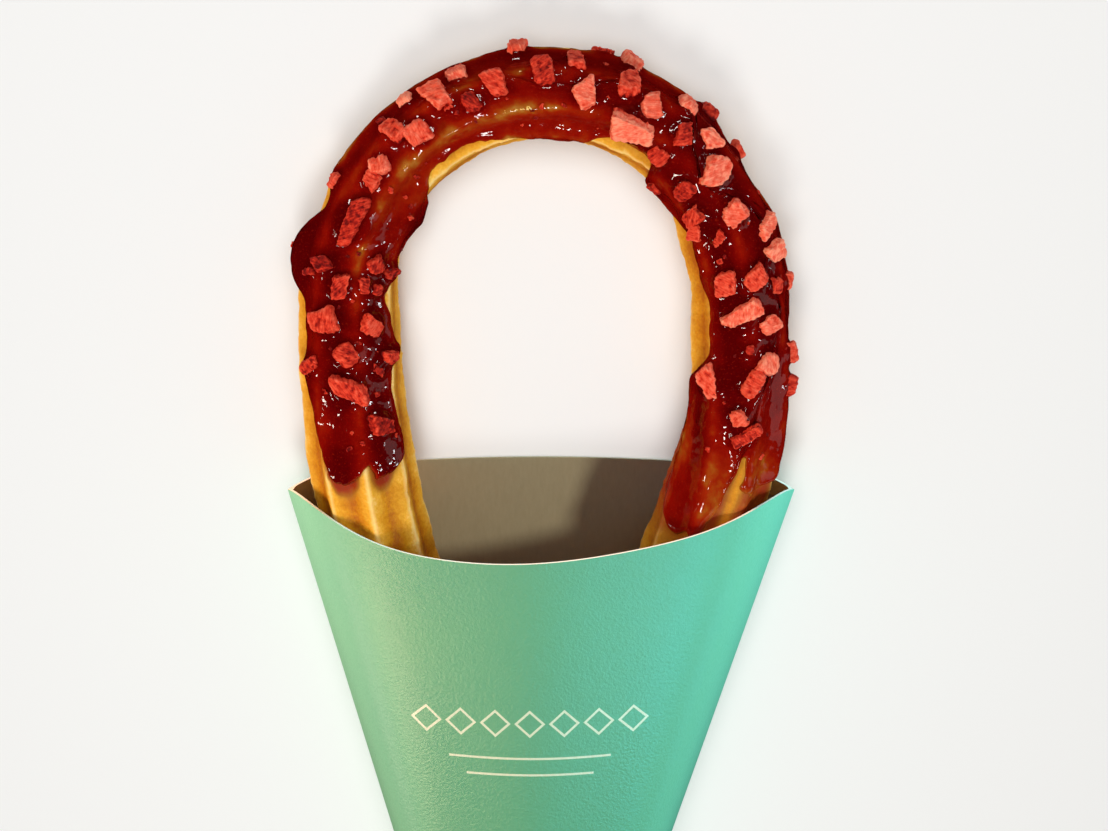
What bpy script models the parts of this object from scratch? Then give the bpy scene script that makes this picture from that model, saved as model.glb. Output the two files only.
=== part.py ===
"""A loop churro in a tapered card sleeve, lying on its back with the front of the sleeve up.

Units are metres and +Z is up. +Y runs from the closed foot of the sleeve to the crown of the loop,
and X runs across the sleeve. The origin is the middle of the underside of the whole part.
Heights along Y are first counted from the mouth line, which joins the two pointed corners of the
sleeve's mouth; MOUTH_Y then carries them to the origin.
"""

import math

import bmesh
import bpy
from mathutils import Vector

MM = 0.001

# Churro: one strand from a star nozzle, bent into an arch whose legs lean together inside the sleeve.
RIDGES = 8
CROWN_RADIUS = 8.5 * MM  # ridge crest to strand axis, at the crown, where the bend stretches the dough
LEG_RADIUS = 10.4 * MM
GROOVE_DEPTH = 1.5 * MM
ARCH_RADIUS = 38.0 * MM  # of the strand axis
ARCH_CENTRE_X = 0.7 * MM
ARCH_CENTRE_RISE = 40.3 * MM  # above the mouth line
# Each leg, from the arch down, as (length, degrees it turns towards the other leg).
LEFT_LEG = ((12 * MM, 0.0), (42 * MM, 14.5), (60 * MM, 0.0))
RIGHT_LEG = ((3 * MM, -1.5), (10 * MM, 0.0), (28 * MM, 19.0), (71 * MM, 0.0))
# The ridges creep round the strand: they lean furthest towards the hole at LEAN_RUN from its left end,
# and lose LEAN_LOSS of that for each square centimetre of run from there.
LEAN, LEAN_RUN, LEAN_LOSS = math.radians(14), 124 * MM, math.radians(0.17)
SWELL = 0.25 * MM  # uneven swelling of the fried dough
END_DOME = 5.0 * MM  # length over which each end rounds off

# Sleeve: two card panels joined along two straight side folds, with a flat foot.
CARD = 0.5 * MM
MOUTH_HALF_WIDTH = 51.1 * MM
SIDE_TAPER = 0.261  # half width lost for each unit of height down from the mouth
SLEEVE_LEAN = 0.025  # the sleeve's foot swings this much to the left for each unit of height
SLEEVE_LENGTH = 106.0 * MM
FRONT_DIP = 10.1 * MM  # how far the middle of the front rim is cut below the mouth line
RIM_SKEW = 3.3 * MM  # the front rim is cut lower on the left than on the right
BACK_RISE = 2.8 * MM  # and how far the middle of the back rim stands above it
FOLD_HEIGHT = (10.5 * MM, 12.0 * MM)  # of the side folds above the table: at the foot, at the mouth
FRONT_BULGE = (13.4 * MM, 13.6 * MM)  # of the front panel above the folds: at the foot, at the mouth
FRONT_CROWN = 1.6 * MM  # how much the front panel bows up along its middle
CROWN_SPREAD = 0.4  # share of that by which the middle rises; the rest is lost towards the sides
BACK_FLATNESS = 9.0  # exponent of the back panel's curve: high is flat, then sharply up to the folds
FRONT_FLATNESS = 8.0

# Where the strand lies above the table.
TABLE_FLAT = 0.35 * MM  # how deep the crests are pressed flat where the loop rests on the table
LEG_LIFT = 1.9 * MM  # clearance under the legs inside the sleeve
LIFT_FROM_RISE, LIFT_TO_RISE = 46.0 * MM, -4.0 * MM

# Fineness of the solids
STEP = 4.4 * MM  # between rings of the strand
POINTS_PER_RIDGE = 3
SLEEVE_ROWS = 9
PANEL_COLUMNS = 18

CROWN_RISE = ARCH_CENTRE_RISE + ARCH_RADIUS + CROWN_RADIUS
MOUTH_Y = (SLEEVE_LENGTH - CROWN_RISE) / 2

DOUGH_COLOUR = (0.66, 0.32, 0.05, 1.0)
CARD_COLOUR = (0.15, 0.58, 0.40, 1.0)


def clear_scene():
    for old in list(bpy.data.objects):
        bpy.data.objects.remove(old)


def material(name, colour, roughness):
    made = bpy.data.materials.new(name)
    made.use_nodes = True
    shader = made.node_tree.nodes["Principled BSDF"]
    shader.inputs["Base Color"].default_value = colour
    shader.inputs["Roughness"].default_value = roughness
    shader.inputs["Metallic"].default_value = 0.0
    return made


def add_object(name, form, finish):
    mesh = bpy.data.meshes.new(name)
    form.to_mesh(mesh)
    form.free()
    mesh.materials.append(finish)
    made = bpy.data.objects.new(name, mesh)
    made.location.y = MOUTH_Y
    bpy.context.scene.collection.objects.link(made)
    return made


def blend(pair, share):
    """From pair[0] at share 0 to pair[1] at share 1."""
    return pair[0] + (pair[1] - pair[0]) * share


def smooth_share(value, start, end):
    """0 before start, 1 after end, and an S curve between them."""
    share = min(1.0, max(0.0, (value - start) / (end - start)))
    return share * share * (3 - 2 * share)


# ---- churro ----


def walk(side, runs):
    """Points a tenth of a millimetre apart on one half of the strand's axis, from the crown down.

    side is -1 for the left half and 1 for the right. A run is (length, degrees of turn).
    """
    pace = 0.1 * MM
    x, y = ARCH_CENTRE_X, ARCH_CENTRE_RISE + ARCH_RADIUS
    heading = 0.0  # turned so far, from straight sideways
    points = [(x, y)]
    for length, degrees in runs:
        count = round(length / pace)
        for _ in range(count):
            heading += math.radians(degrees) / count
            x += side * math.cos(heading) * pace
            y -= math.sin(heading) * pace
            points.append((x, y))
    return points


def strand_axis():
    """(x, y) along the strand from the end of its left leg, over the crown, to its right end."""
    half_arch = (ARCH_RADIUS * math.pi / 2, 90.0)
    left = walk(-1, (half_arch, *LEFT_LEG))
    right = walk(1, (half_arch, *RIGHT_LEG))
    return left[:0:-1] + right


def crest_radius(x, y):
    """Ridge crest to axis: thinner where the dough is stretched over the crown."""
    return blend((LEG_RADIUS, CROWN_RADIUS), smooth_share(y, 2 * MM, ARCH_CENTRE_RISE + ARCH_RADIUS))


def uneven(share):
    """Slow swelling along the strand, from three waves that don't repeat together."""
    return SWELL * (
        math.sin(2 * math.pi * 3.1 * share + 0.6)
        + 0.7 * math.sin(2 * math.pi * 7.3 * share + 2.1)
        + 0.4 * math.sin(2 * math.pi * 12.7 * share)
    ) / 2.1


def lean(run):
    """Angle of the first ridge from straight up, towards the loop's hole."""
    return LEAN - LEAN_LOSS * ((run - LEAN_RUN) / (10 * MM)) ** 2


def groove_share(angle):
    """0 on the crest of a ridge and 1 at the bottom of the groove beside it; crests are sharp."""
    turn = angle * RIDGES / (2 * math.pi)
    off_crest = 2 * abs(turn - round(turn))
    return 1 - (1 - off_crest) ** 2


def lift(y):
    """Height of the strand's lowest crest above the table, before it is pressed flat."""
    share = smooth_share(-y, -LIFT_FROM_RISE, -LIFT_TO_RISE)
    return blend((-TABLE_FLAT, LEG_LIFT), share)


def strand_ring(at, heading, share, scale, phase):
    """One ring of points round the strand. scale below 1 rounds the ends off."""
    x, y = at
    across = Vector((heading.y, -heading.x, 0.0))
    up = Vector((0.0, 0.0, 1.0))
    crest = (crest_radius(x, y) + uneven(share)) * scale
    height = crest_radius(x, y) + lift(y)
    count = RIDGES * POINTS_PER_RIDGE
    ring = []
    for i in range(count):
        angle = 2 * math.pi * i / count
        radius = crest - GROOVE_DEPTH * scale * groove_share(angle)
        turned = angle + phase
        point = Vector((x, y, height)) + radius * (
            math.sin(turned) * across + math.cos(turned) * up
        )
        point.z = max(point.z, 0.0)
        ring.append(point)
    return ring


def add_churro(finish):
    axis = strand_axis()
    gaps = round(len(axis) * 0.1 * MM / STEP)
    stations = [round(i * (len(axis) - 1) / gaps) for i in range(gaps + 1)]
    length = (len(axis) - 1) * 0.1 * MM
    form = bmesh.new()
    rings = []
    for place in stations:
        before = axis[max(place - 5, 0)]
        after = axis[min(place + 5, len(axis) - 1)]
        heading = Vector((after[0] - before[0], after[1] - before[1])).normalized()
        share = place / (len(axis) - 1)
        to_end = min(share, 1 - share) * length
        scale = math.sqrt(1 - (1 - min(1.0, 0.22 + to_end / END_DOME)) ** 2)
        points = strand_ring(axis[place], heading, share, scale, lean(share * length))
        rings.append([form.verts.new(p) for p in points])
    for first, second in zip(rings, rings[1:]):
        for i in range(len(first)):
            j = (i + 1) % len(first)
            form.faces.new((first[i], second[i], second[j], first[j]))
    form.faces.new(rings[0])
    form.faces.new(reversed(rings[-1]))
    bmesh.ops.recalc_face_normals(form, faces=form.faces)
    made = add_object("churro", form, finish)
    made.data.shade_smooth()
    made.data.set_sharp_from_angle(angle=math.radians(50))
    return made


# ---- sleeve ----


def rim_rise(across, front):
    """Height of the rim above the mouth line. across is -1 and 1 at the corners."""
    if front:
        return (1 - across**2) * (RIM_SKEW * across - FRONT_DIP * (1 - 2.8 * across**8))
    return BACK_RISE * (1 - across * across)


def sleeve_point(across, front, up):
    """A point of the sleeve's outer face. across is -1 to 1, and up is 0 at the foot, 1 at the rim."""
    y = blend((-SLEEVE_LENGTH, rim_rise(across, front)), up)
    share = 1 + y / SLEEVE_LENGTH  # 0 at the foot and 1 at the mouth line
    half_width = MOUTH_HALF_WIDTH + SIDE_TAPER * y
    fold = blend(FOLD_HEIGHT, share)
    if front:
        crown = FRONT_CROWN * (CROWN_SPREAD - across**2)
        z = fold + (blend(FRONT_BULGE, share) + crown) * (1 - abs(across) ** FRONT_FLATNESS)
    else:
        z = fold * abs(across) ** BACK_FLATNESS
    middle = SLEEVE_LEAN * y
    return Vector((middle + across * half_width, y, z))


def add_sleeve(finish):
    form = bmesh.new()
    # Once round the sleeve: along the back from the left fold to the right, then back over the front.
    steps = [2 * i / PANEL_COLUMNS - 1 for i in range(PANEL_COLUMNS)]
    round_it = [(step, False) for step in steps] + [(-step, True) for step in steps]
    rows = []
    for row in range(SLEEVE_ROWS + 1):
        up = row / SLEEVE_ROWS
        rows.append([form.verts.new(sleeve_point(a, front, up)) for a, front in round_it])
    for lower, upper in zip(rows, rows[1:]):
        for i in range(len(lower)):
            j = (i + 1) % len(lower)
            form.faces.new((lower[i], lower[j], upper[j], upper[i]))
    # The foot, in strips from the back panel to the front one.
    foot = rows[0]
    count = len(foot)
    for i in range(PANEL_COLUMNS):
        strip = [foot[i], foot[i + 1], foot[-i - 1], foot[(count - i) % count]]
        form.faces.new(list(dict.fromkeys(strip)))
    bmesh.ops.recalc_face_normals(form, faces=form.faces)
    made = add_object("sleeve", form, finish)
    shell = made.modifiers.new("card", "SOLIDIFY")
    shell.thickness = CARD
    shell.offset = -1.0  # the card's thickness goes inwards
    shell.use_even_offset = True
    return made


def main():
    clear_scene()
    add_churro(material("dough", DOUGH_COLOUR, 0.55))
    add_sleeve(material("card", CARD_COLOUR, 0.5))


main()
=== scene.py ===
"""The looks of the loop churro in its card sleeve: crust, strawberry glaze, dried fruit, card and light.

Lengths are in millimetres in the helpers and become metres when a mesh is made. A place on the strand
is a station (millimetres along its axis from the crown, negative down the left leg and positive down
the right one) and an angle (degrees round the axis from straight up, positive towards the hole).
"""

import math

import bpy
import numpy as np
from mathutils import Matrix, Vector


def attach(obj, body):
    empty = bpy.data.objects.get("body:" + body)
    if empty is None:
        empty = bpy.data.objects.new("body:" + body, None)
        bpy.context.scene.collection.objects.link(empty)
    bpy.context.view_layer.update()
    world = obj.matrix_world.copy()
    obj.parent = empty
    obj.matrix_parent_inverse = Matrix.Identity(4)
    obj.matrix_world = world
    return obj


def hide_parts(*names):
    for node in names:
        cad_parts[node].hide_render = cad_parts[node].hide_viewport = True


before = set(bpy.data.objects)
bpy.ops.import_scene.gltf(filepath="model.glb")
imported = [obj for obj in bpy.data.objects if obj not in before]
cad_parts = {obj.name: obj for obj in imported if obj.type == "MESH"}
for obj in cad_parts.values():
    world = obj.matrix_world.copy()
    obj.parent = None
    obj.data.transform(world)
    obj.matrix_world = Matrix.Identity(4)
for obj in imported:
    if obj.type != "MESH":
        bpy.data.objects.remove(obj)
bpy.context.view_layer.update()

MM = 0.001

# The construction's own sizes, as the solids have them
RIDGES = 8
CROWN_RADIUS, LEG_RADIUS = 8.5, 10.4
GROOVE_DEPTH = 1.5
ARCH_RADIUS, ARCH_CENTRE_X, ARCH_CENTRE_RISE = 38.0, 0.7, 40.3
LEFT_LEG = ((12, 0.0), (42, 14.5), (60, 0.0))
RIGHT_LEG = ((3, -1.5), (10, 0.0), (28, 19.0), (71, 0.0))
LEAN, LEAN_STATION, LEAN_LOSS = 14.0, -49.7, 0.17
TABLE_FLAT, LEG_LIFT, LIFT_FROM, LIFT_TO = 0.35, 1.9, 46.0, -4.0
END_DOME = 5.0
CARD = 0.5
MOUTH_HALF_WIDTH, SIDE_TAPER, SLEEVE_LENGTH = 51.1, 0.261, 106.0
SLEEVE_LEAN = 0.025
FRONT_DIP, BACK_RISE, RIM_SKEW = 10.1, 2.8, 3.3
FRONT_CROWN, CROWN_SPREAD, CROWN_BEND = 2.6, 0.4, 0.25
FOLD_HEIGHT, FRONT_BULGE = (10.5, 12.0), (13.4, 13.6)
BACK_FLATNESS, FRONT_FLATNESS = 9.0, 8.0
MOUTH_Y = (SLEEVE_LENGTH - ARCH_CENTRE_RISE - ARCH_RADIUS - CROWN_RADIUS) / 2

PACE = 0.1


# ---- noise ----


def hashed(cell, seed):
    """A number from -1 to 1 for each lattice cell."""
    c = cell.astype(np.int64)
    h = (c[..., 0] * 73856093) ^ (c[..., 1] * 19349663) ^ (c[..., 2] * 83492791) ^ (seed * 2654435761)
    h &= 0xFFFFFFFF
    h = ((h ^ (h >> 15)) * 2246822519) & 0xFFFFFFFF
    h = ((h ^ (h >> 13)) * 3266489917) & 0xFFFFFFFF
    h ^= h >> 16
    return h / 2147483648.0 - 1.0


def noise(points, seed=0):
    """Smooth value noise of unit grain, from -1 to 1."""
    base = np.floor(points)
    f = points - base
    f = f * f * f * (f * (f * 6 - 15) + 10)
    total = 0
    for corner in range(8):
        step = np.array([corner & 1, (corner >> 1) & 1, corner >> 2])
        weight = np.prod(np.where(step, f, 1 - f), axis=-1)
        total = total + weight * hashed(base + step, seed)
    return total


def layered(points, layers=3, seed=0, gain=0.5):
    """Sum of ever finer noise, about -1 to 1."""
    total, size, sum_size = 0, 1.0, 0.0
    for layer in range(layers):
        total = total + size * noise(points * 2.03**layer + 17.3 * layer, seed + layer)
        sum_size += size
        size *= gain
    return total / sum_size * 1.4


def pits(points, seed=0):
    """Distance to the nearest of one random point for each lattice cell: 0 in a pit, about 1 between."""
    base = np.floor(points)
    nearest = np.full(points.shape[:-1], 9.0)
    for dx in (-1, 0, 1):
        for dy in (-1, 0, 1):
            for dz in (-1, 0, 1):
                cell = base + np.array([dx, dy, dz])
                spot = cell + 0.5 + 0.45 * np.stack([hashed(cell, seed + k) for k in range(3)], -1)
                nearest = np.minimum(nearest, np.linalg.norm(points - spot, axis=-1))
    return nearest


def smooth_share(value, start, end):
    share = np.clip((value - start) / (end - start), 0.0, 1.0)
    return share * share * (3 - 2 * share)


def bump(value, centre, width):
    return np.exp(-(((value - centre) / width) ** 2))


# ---- the strand's axis ----


def walk(side, runs):
    x, y, heading = ARCH_CENTRE_X, ARCH_CENTRE_RISE + ARCH_RADIUS, 0.0
    points = [(x, y)]
    for length, degrees in runs:
        count = round(length / PACE)
        for _ in range(count):
            heading += math.radians(degrees) / count
            x += side * math.cos(heading) * PACE
            y -= math.sin(heading) * PACE
            points.append((x, y))
    return points


HALF_ARCH = (ARCH_RADIUS * math.pi / 2, 90.0)
LEFT_WALK = walk(-1, (HALF_ARCH, *LEFT_LEG))
RIGHT_WALK = walk(1, (HALF_ARCH, *RIGHT_LEG))
AXIS = np.array(LEFT_WALK[:0:-1] + RIGHT_WALK)
FIRST, LAST = -PACE * (len(LEFT_WALK) - 1), PACE * (len(RIGHT_WALK) - 1)
STATIONS = np.linspace(FIRST, LAST, len(AXIS))
_ahead, _behind = np.roll(AXIS, -5, 0), np.roll(AXIS, 5, 0)
_ahead[-5:], _behind[:5] = AXIS[-1], AXIS[0]
HEADINGS = (_ahead - _behind) / np.linalg.norm(_ahead - _behind, axis=1, keepdims=True)


def on_axis(station):
    """x, y, heading x and heading y at each station."""
    return [np.interp(station, STATIONS, row) for row in (*AXIS.T, *HEADINGS.T)]


def crest_radius(y):
    share = smooth_share(y, 2.0, ARCH_CENTRE_RISE + ARCH_RADIUS)
    return LEG_RADIUS + (CROWN_RADIUS - LEG_RADIUS) * share


def lift(y):
    return -TABLE_FLAT + (LEG_LIFT + TABLE_FLAT) * smooth_share(-y, -LIFT_FROM, -LIFT_TO)


def lean(station):
    return LEAN - LEAN_LOSS * ((station - LEAN_STATION) / 10) ** 2


def off_crest(station, angle):
    """0 on a ridge's crest and 1 at the bottom of the groove beside it."""
    turn = (angle - lean(station)) * RIDGES / 360
    return 2 * np.abs(turn - np.round(turn))


def swelling(station):
    return 0.12 * np.sin(station / 17.0 + 1.0) + 0.09 * np.sin(station / 7.3 + 2.1)


# Where the strand bulges or shrinks on one side: station, reach along it, side (1 towards the hole), millimetres
UNEVEN_SIDES = (
    (-22, 13, 1, 0.8), (-66, 11, -1, 0.9), (-45, 3.5, -1, -1.0), (30, 7, -1, -0.8), (40, 6, -1, -1.8),
    (49, 7, 1, 1.2), (84, 9, 1, -0.7),
)


def fullness(station, angle):
    turned = (angle + 180) % 360 - 180
    total = 0
    for centre, reach, side, amount in UNEVEN_SIDES:
        facing = smooth_share(side * turned, 30, 85) * smooth_share(-side * turned, -165, -110)
        total = total + amount * bump(station, centre, reach) * facing
    return total


def placed(station, angle, radius):
    """Points at that radius from the axis."""
    x, y, hx, hy = on_axis(station)
    turned = np.radians(angle)
    out = radius * np.sin(turned)
    z = crest_radius(y) + lift(y) + radius * np.cos(turned)
    return np.stack([x + out * hy, y - out * hx, np.maximum(z, 0.0)], -1)


def outward(station, angle):
    """Unit vector straight out of the strand."""
    _, _, hx, hy = on_axis(station)
    turned = np.radians(angle)
    return np.stack([np.sin(turned) * hy, -np.sin(turned) * hx, np.cos(turned)], -1)


# Where the bend has pressed neighbouring ridges together: station, reach, angle, spread, share of the groove gone
MERGED_RIDGES = ((-32, 20, 82, 26, 0.8), (16, 14, 80, 24, 0.6), (56, 18, 78, 24, 0.45), (-66, 22, 78, 20, 0.35))


def merged(station, angle):
    total = 0
    for centre, reach, middle, spread, share in MERGED_RIDGES:
        total = total + share * bump(station, centre, reach) * bump(angle, middle, spread)
    return total


def dough_radius(station, angle):
    """Radius of the fried crust, with its torn ridges and blisters."""
    y = on_axis(station)[1]
    off = off_crest(station, angle)
    ridge = np.round((angle - lean(station)) * RIDGES / 360) % RIDGES
    along = np.stack([station / 5.0, ridge * 7.7, 0 * off], -1)
    turned = (angle + 180) % 360 - 180
    groove = np.sin(math.pi / 2 * off) ** 1.5 * (1 - merged(station, turned))
    # Each ridge stands a little higher here and lower there, and its crest is torn as it left the nozzle.
    height = 0.22 * layered(along, 2, 3)
    calm = 1 - 0.6 * smooth_share(np.abs(turned), 50, 80)
    torn = 0.28 * calm * layered(np.stack([station / 1.3, ridge * 3.1, off * 2], -1), 3, 11) * (1 - off) ** 2
    spot = np.stack([station, np.radians(angle) * 9.5, 0 * off], -1)
    streak = 0.07 * layered(spot * [0.35, 1.9, 1], 2, 21)
    grain = 0.075 * layered(spot * 1.1, 3, 31)
    blister = 0.13 * smooth_share(0.34 - pits(spot * [0.42, 0.42, 1] + 3.7, 41), 0.0, 0.3)
    return (
        crest_radius(y) + swelling(station) + fullness(station, angle) - GROOVE_DEPTH * groove
        + height * (1 - off) + torn + streak + grain + blister
    )


# ---- meshes ----


def add_mesh(name, points, quads, body="root", attributes=None, smooth=True):
    """A mesh object from points in millimetres counted from the mouth line, riding on the part."""
    mesh = bpy.data.meshes.new(name)
    flat = np.asarray(points, dtype=np.float64).reshape(-1, 3).copy()
    flat[:, 1] += MOUTH_Y
    mesh.from_pydata([], [], [])
    mesh.vertices.add(len(flat))
    mesh.vertices.foreach_set("co", (flat * MM).ravel())
    quads = np.asarray(quads, dtype=np.int32)
    sides = quads.shape[1]
    mesh.loops.add(quads.size)
    mesh.loops.foreach_set("vertex_index", quads.ravel())
    mesh.polygons.add(len(quads))
    mesh.polygons.foreach_set("loop_start", np.arange(len(quads), dtype=np.int32) * sides)
    mesh.update(calc_edges=True)
    for key, values in (attributes or {}).items():
        values = np.asarray(values, dtype=np.float32)
        kind, field = ("FLOAT", "value") if values.ndim == 1 else ("FLOAT_VECTOR", "vector")
        mesh.attributes.new(key, kind, "POINT").data.foreach_set(field, values.ravel())
    mesh.validate()
    if smooth:
        mesh.shade_smooth()
    made = bpy.data.objects.new(name, mesh)
    bpy.context.scene.collection.objects.link(made)
    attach(made, body)
    return made


def grid_quads(rows, columns, start=0, wrap=False):
    """Quads of a grid of points stored row by row; wrap joins the last column to the first."""
    r = np.arange(rows - 1)[:, None]
    c = np.arange(columns if wrap else columns - 1)[None, :]
    right = (c + 1) % columns
    a, b = r * columns + c, r * columns + right
    return np.stack([a, b, b + columns, a + columns], -1).reshape(-1, 4) + start


def fan(ring, centre):
    """Triangles from a ring of point numbers to a centre point, each as three point numbers."""
    ring = list(ring)
    return [(ring[i], ring[(i + 1) % len(ring)], centre) for i in range(len(ring))]


# ---- materials ----


class Nodes:
    """A small builder for one material's nodes."""

    def __init__(self, name, slot=None):
        self.material = bpy.data.materials.new(name)
        self.material.use_nodes = True
        self.tree = self.material.node_tree
        self.shader = self.tree.nodes["Principled BSDF"]

    def add(self, kind, inputs=None, **settings):
        node = self.tree.nodes.new(kind)
        for key, value in settings.items():
            setattr(node, key, value)
        for key, value in (inputs or {}).items():
            self.feed(node.inputs[key], value)
        return node

    def feed(self, socket, value):
        if isinstance(value, bpy.types.NodeSocket):
            self.tree.links.new(value, socket)
        else:
            socket.default_value = value

    def set(self, **values):
        """Values or sockets for the shader's inputs, spaces written as underscores."""
        for key, value in values.items():
            self.feed(self.shader.inputs[key.replace("_", " ")], value)
        return self

    def attribute(self, name, output="Fac"):
        return self.add("ShaderNodeAttribute", attribute_name=name).outputs[output]

    def math(self, operation, a, b=0.0, clamp=False):
        node = self.add("ShaderNodeMath", operation=operation, use_clamp=clamp)
        self.feed(node.inputs[0], a)
        self.feed(node.inputs[1], b)
        return node.outputs[0]

    def ramp(self, value, stops, interpolation="LINEAR"):
        node = self.add("ShaderNodeValToRGB", {"Fac": value})
        node.color_ramp.interpolation = interpolation
        points = node.color_ramp.elements
        while len(points) > len(stops):
            points.remove(points[-1])
        while len(points) < len(stops):
            points.new(1.0)
        for point, (place, colour) in zip(points, stops):
            point.position = place
            point.color = (*colour, 1.0) if len(colour) == 3 else colour
        return node.outputs["Color"]

    def mix(self, share, a, b, blend="MIX"):
        node = self.add("ShaderNodeMix", data_type="RGBA", blend_type=blend)
        self.feed(node.inputs["Factor"], share)
        for key, value in (("A", a), ("B", b)):
            socket = [s for s in node.inputs if s.name == key and s.type == "RGBA"][0]
            self.feed(socket, (*value, 1.0) if isinstance(value, tuple) and len(value) == 3 else value)
        return [s for s in node.outputs if s.type == "RGBA"][0]

    def place(self, scale=(1, 1, 1)):
        """Object coordinates in millimetres, stretched by scale."""
        coordinates = self.add("ShaderNodeTexCoord").outputs["Object"]
        node = self.add("ShaderNodeMapping", {"Vector": coordinates, "Scale": [s / MM for s in scale]})
        return node.outputs["Vector"]

    def noise(self, scale, detail=3.0, roughness=0.55, vector=None, distortion=0.0):
        return self.add(
            "ShaderNodeTexNoise",
            {"Vector": vector or self.place(), "Scale": scale, "Detail": detail, "Roughness": roughness,
             "Distortion": distortion},
        ).outputs["Fac"]

    def bump(self, height, depth_mm, strength=1.0, under=None):
        node = self.add("ShaderNodeBump", {"Height": height, "Distance": depth_mm * MM, "Strength": strength})
        if under is not None:
            self.feed(node.inputs["Normal"], under)
        return node.outputs["Normal"]


def rgb(red, green, blue):
    """Linear colour from the eye's 0 to 255 scale."""
    def linear(value):
        v = value / 255
        return v / 12.92 if v <= 0.04045 else ((v + 0.055) / 1.055) ** 2.4
    return (linear(red), linear(green), linear(blue))


def finish(obj, nodes):
    obj.data.materials.append(nodes.material)


# ---- dough ----

DOUGH_STEP = 0.62
DOUGH_ROUND = 152


def stain_and_rim_shade(station, angle):
    """How deep the glaze has seeped into the crust just outside its edge, 0 to 1; down the right leg by the sleeve
    this darkening is also painted shade from the sleeve's rim.
    """
    below = station - through(LEFT_END, np.clip((angle + 34) / 80, 0, 1))
    left = smooth_share(below, -4.2, -0.6) * smooth_share(angle, -44, -30) * smooth_share(-angle, -54, -44)
    left = left * (1 - bump(angle, 9, 7)) * smooth_share(-station, 60, 80)
    # Down the right leg to the sleeve's mouth the darkening is partly seeped glaze and partly painted shade from
    # the front panel's rim.
    right = smooth_share(station, 80, 92) * smooth_share(-station, -118, -104)
    right = right * smooth_share(angle, -74, -60) * (1 - 0.8 * bump(angle, -11, 7))
    return np.clip(np.maximum(0.85 * left, 0.75 * right), 0, 1)


def add_dough():
    rows = round((LAST - FIRST) / DOUGH_STEP)
    station = np.linspace(FIRST, LAST, rows + 1)[:, None] * np.ones((1, DOUGH_ROUND))
    angle = np.linspace(0, 360, DOUGH_ROUND, endpoint=False)[None, :] + lean(station[:, :1])
    radius = dough_radius(station, angle)
    to_end = np.minimum(station - FIRST, LAST - station)
    dome = np.sqrt(1 - (1 - np.clip(0.12 + to_end / END_DOME, 0, 1)) ** 2)
    points = placed(station, angle, radius * dome)
    off = off_crest(station, angle)
    turned = (angle + 180) % 360 - 180
    ends = [placed(np.array(e), np.array(0.0), np.array(0.0)) for e in (FIRST, LAST)]
    flat = np.concatenate([points.reshape(-1, 3), np.array(ends)])
    quads = grid_quads(rows + 1, DOUGH_ROUND, wrap=True)
    last = rows * DOUGH_ROUND
    made = add_mesh(
        "churro_crust", flat, quads,
        attributes={
            "off_crest": np.append(off.ravel(), [0.5, 0.5]),
            "stain_and_rim_shade": np.append(stain_and_rim_shade(station, turned).ravel(), [0, 0]),
            "facing": np.append(np.cos(np.radians(turned)).ravel(), [0, 0]),
        },
    )
    import bmesh

    form = bmesh.new()
    form.from_mesh(made.data)
    form.verts.ensure_lookup_table()
    for ring, centre in ((range(DOUGH_ROUND), last + DOUGH_ROUND), (range(last, last + DOUGH_ROUND), last + DOUGH_ROUND + 1)):
        for corners in fan(ring, centre):
            form.faces.new([form.verts[c] for c in corners]).smooth = True
    bmesh.ops.recalc_face_normals(form, faces=form.faces)
    form.to_mesh(made.data)
    form.free()
    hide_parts("churro")
    finish(made, dough_material())
    return made


def dough_material():
    m = Nodes("fried_dough")
    off = m.attribute("off_crest")
    mottled = m.noise(0.22, 4)
    fine = m.noise(1.6, 4)
    # Browner towards the grooves: partly the crust's own colour, partly painted shade in the grooves.
    browning_and_groove_shade = m.math("ADD", m.math("MULTIPLY", off, 0.55), m.math("MULTIPLY", mottled, 0.75))
    browning_and_groove_shade = m.math("ADD", browning_and_groove_shade, m.math("MULTIPLY", m.math("SUBTRACT", fine, 0.5), 0.45), clamp=True)
    crust = m.ramp(browning_and_groove_shade, [
        (0.22, rgb(250, 210, 122)), (0.45, rgb(234, 172, 50)), (0.70, rgb(212, 140, 14)), (0.95, rgb(182, 100, 4)),
    ])
    # The torn crests are paler and drier, and their pale colour is partly a painted highlight where light falls on
    # the crests.
    dry = m.ramp(off, [(0.0, (1, 1, 1)), (0.16, (0, 0, 0))])
    crust = m.mix(m.math("MULTIPLY", dry, m.math("MULTIPLY", fine, 0.9)), crust, rgb(255, 226, 160))
    patchy = m.math("MULTIPLY", m.math("SUBTRACT", m.noise(0.30, 4), 0.5), 0.9)
    edge = m.math("ADD", m.attribute("stain_and_rim_shade"), m.math("MULTIPLY", m.attribute("stain_and_rim_shade"), patchy))
    # Seeped crust turns olive-brown to red; on the right leg by the sleeve this darkening is also painted shade.
    soaked_and_rim_shade = m.ramp(edge, [(0.0, rgb(196, 142, 44)), (0.45, rgb(158, 94, 18)), (0.85, rgb(154, 46, 6))])
    colour = m.mix(m.ramp(edge, [(0.02, (0, 0, 0)), (0.45, (0.85,) * 3), (0.8, (1, 1, 1))]), crust, soaked_and_rim_shade)
    rough = m.math("SUBTRACT", 0.62, m.math("MULTIPLY", off, 0.22))
    grain = m.noise(3.2, 5, 0.6)
    streaks = m.noise(1.0, 3, 0.5, m.place((3.0, 0.5, 3.0)))
    normal = m.bump(grain, 0.10, 0.8)
    normal = m.bump(streaks, 0.10, 0.5, normal)
    m.set(Base_Color=colour, Roughness=rough, Normal=normal, IOR=1.45, Subsurface_Weight=0.18,
          Subsurface_Radius=(1.0, 0.45, 0.15), Subsurface_Scale=0.0012, Specular_IOR_Level=0.4)
    return m


# ---- fruit ----

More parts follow.
